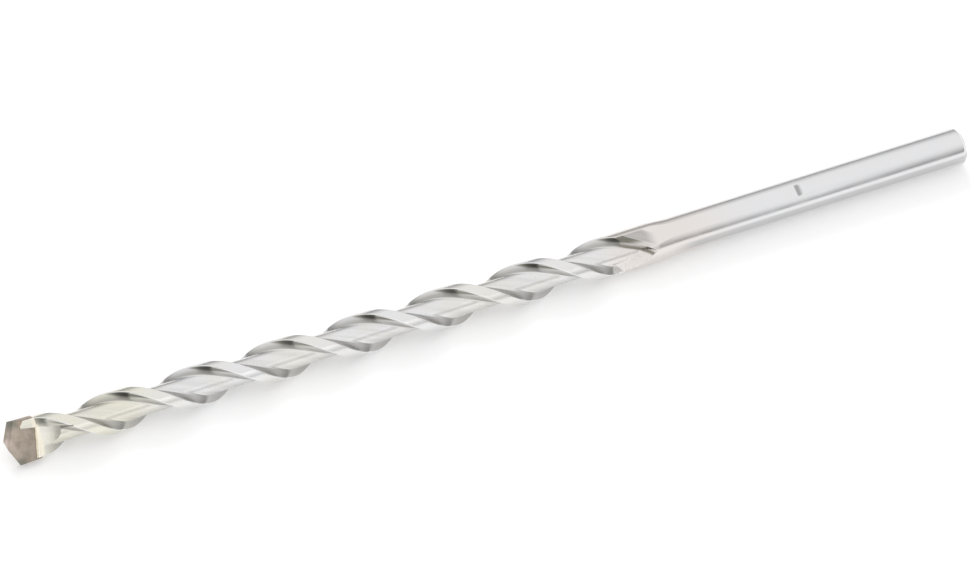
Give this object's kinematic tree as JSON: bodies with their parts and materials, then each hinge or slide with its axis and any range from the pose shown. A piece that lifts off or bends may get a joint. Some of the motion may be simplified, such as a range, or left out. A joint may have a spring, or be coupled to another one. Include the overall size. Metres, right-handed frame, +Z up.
{
  "type": "masonry drill bit",
  "caption": "Carbide-tipped masonry drill bit: roof-pointed carbide plate brazed into a twisted two-land steel stem, with a round shank and one long shallow flat.",
  "frame": {"origin": "on the floor under the middle of the bit, which lies on its side", "axes": "+X along the bit from the carbide point to the chuck end, +Z up; the bit's axis is 2.28 mm above the floor"},
  "size_m": [0.1142, 0.0046, 0.0046],
  "materials": {
    "plated_steel": "bright nickel-plated tool steel, satin, with a faint heat tint near the tip",
    "carbide": "ground tungsten carbide, brown from brazing heat",
    "braze": "silver braze"
  },
  "bodies": {
    "root": {"drill_body": "plated_steel", "carbide_insert": "carbide", "braze_seam": "braze"}
  },
  "joints": []
}
